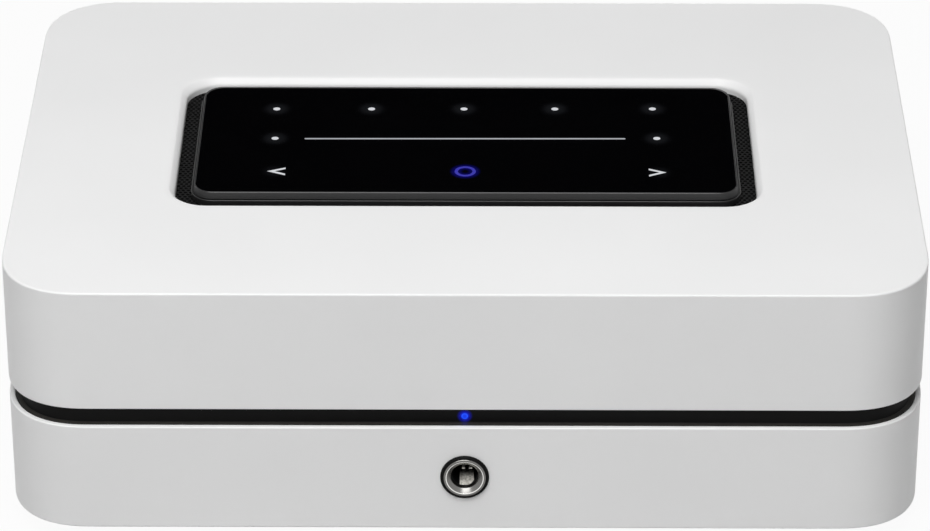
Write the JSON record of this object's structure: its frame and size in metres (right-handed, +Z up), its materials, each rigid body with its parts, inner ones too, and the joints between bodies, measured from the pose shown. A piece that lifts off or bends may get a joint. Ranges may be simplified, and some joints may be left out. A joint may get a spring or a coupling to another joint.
{
  "type": "streaming amplifier",
  "caption": "Low box-shaped network music amplifier with two stacked white shells, a touch panel in a vented top opening, a front headphone socket and rear screw terminals.",
  "frame": {"origin": "on the surface the feet stand on, under the middle of everything seen from above", "axes": "+X to the right seen from the front, +Y to the back, +Z up; the front faces -Y"},
  "size_m": [0.22, 0.174, 0.0702],
  "materials": {
    "shell_white": "satin",
    "seam_black": "satin",
    "rubber_foot": "matte",
    "screw_steel": "black zinc",
    "grille_steel": "matte black",
    "bezel_black": "satin",
    "panel_glass": "polished, dark",
    "circuit_board": "solder mask",
    "mask_black": "matte",
    "clear_acrylic": "polished",
    "status_acrylic": "polished",
    "collar_black": "satin",
    "bright_nickel": "bright nickel",
    "gold_plate": "gold flash",
    "socket_black": "moulded",
    "zinc_steel": "zinc plated",
    "brass": "nickel plated",
    "ferrite": "ferrite and yellow tape",
    "can_sleeve": "shrink sleeve",
    "fuse_glass": "glass tube in clips",
    "chip_black": "moulded",
    "black_aluminium": "black anodised",
    "tinned_steel": "tinned",
    "panel_black": "powder coat",
    "cap_black": "moulded",
    "cap_red": "moulded",
    "wire_black": "insulation",
    "ribbon_white": "flat cable"
  },
  "bodies": {
    "case": {"upper_shell": "shell_white", "lower_shell": "shell_white", "seam_band": "seam_black", "feet": "rubber_foot", "shell_screws": "screw_steel", "vent_grille": "grille_steel", "touch_bezel": "bezel_black", "touch_glass": "panel_glass", "touch_board": "circuit_board", "light_mask": "mask_black", "light_pipes": "clear_acrylic", "status_lens": "status_acrylic", "status_board": "circuit_board", "jack_collar": "collar_black", "jack_nut": "bright_nickel", "jack_body": "socket_black", "jack_contacts": "gold_plate", "headphone_board": "circuit_board", "chassis_tray": "zinc_steel", "board_standoffs": "brass", "power_board": "circuit_board", "amp_board": "circuit_board", "main_board": "circuit_board", "mains_transformer": "ferrite", "bulk_capacitors": "can_sleeve", "mains_fuse": "fuse_glass", "amp_chips": "chip_black", "heat_sink": "black_aluminium", "output_coils": "chip_black", "processor_shield": "tinned_steel", "rear_panel": "panel_black", "panel_screws": "screw_steel", "lan_socket": "socket_black", "lan_contacts": "gold_plate", "usb_socket": "tinned_steel", "hdmi_socket": "tinned_steel", "port_tongues": "socket_black", "round_jacks": "socket_black", "sub_out_body": "socket_black", "sub_out_barrel": "bright_nickel", "mains_inlet": "socket_black", "inlet_pins": "bright_nickel", "post_bases": "socket_black", "post_studs": "gold_plate", "post_nuts": "zinc_steel", "antennas": "circuit_board", "antenna_leads": "wire_black", "board_leads": "wire_black", "touch_ribbon": "ribbon_white"},
    "washer_right_minus": {"washer_right_minus": "gold_plate"},
    "cap_right_minus": {"cap_right_minus": "cap_black"},
    "washer_right_plus": {"washer_right_plus": "gold_plate"},
    "cap_right_plus": {"cap_right_plus": "cap_red"},
    "washer_left_minus": {"washer_left_minus": "gold_plate"},
    "cap_left_minus": {"cap_left_minus": "cap_black"},
    "washer_left_plus": {"washer_left_plus": "gold_plate"},
    "cap_left_plus": {"cap_left_plus": "cap_red"}
  },
  "joints": [
    {"name": "right_minus_travel", "type": "slide", "parent": "case", "child": "washer_right_minus", "axis": [0, 1, 0], "range_m": [0, 0.005]},
    {"name": "right_minus_turn", "type": "hinge", "parent": "washer_right_minus", "child": "cap_right_minus", "pos_m": [0.008, 0.0717, 0.0225], "axis": [0, 1, 0], "range_deg": [0, 1800]},
    {"name": "right_plus_travel", "type": "slide", "parent": "case", "child": "washer_right_plus", "axis": [0, 1, 0], "range_m": [0, 0.005]},
    {"name": "right_plus_turn", "type": "hinge", "parent": "washer_right_plus", "child": "cap_right_plus", "pos_m": [0.027, 0.0717, 0.0225], "axis": [0, 1, 0], "range_deg": [0, 1800]},
    {"name": "left_minus_travel", "type": "slide", "parent": "case", "child": "washer_left_minus", "axis": [0, 1, 0], "range_m": [0, 0.005]},
    {"name": "left_minus_turn", "type": "hinge", "parent": "washer_left_minus", "child": "cap_left_minus", "pos_m": [0.049, 0.0717, 0.0225], "axis": [0, 1, 0], "range_deg": [0, 1800]},
    {"name": "left_plus_travel", "type": "slide", "parent": "case", "child": "washer_left_plus", "axis": [0, 1, 0], "range_m": [0, 0.005]},
    {"name": "left_plus_turn", "type": "hinge", "parent": "washer_left_plus", "child": "cap_left_plus", "pos_m": [0.068, 0.0717, 0.0225], "axis": [0, 1, 0], "range_deg": [0, 1800]}
  ],
  "couplings": [
    {"joint": "right_minus_turn", "follows": "right_minus_travel", "rad_per_m": 6283.2},
    {"joint": "right_plus_turn", "follows": "right_plus_travel", "rad_per_m": 6283.2},
    {"joint": "left_minus_turn", "follows": "left_minus_travel", "rad_per_m": 6283.2},
    {"joint": "left_plus_turn", "follows": "left_plus_travel", "rad_per_m": 6283.2}
  ]
}
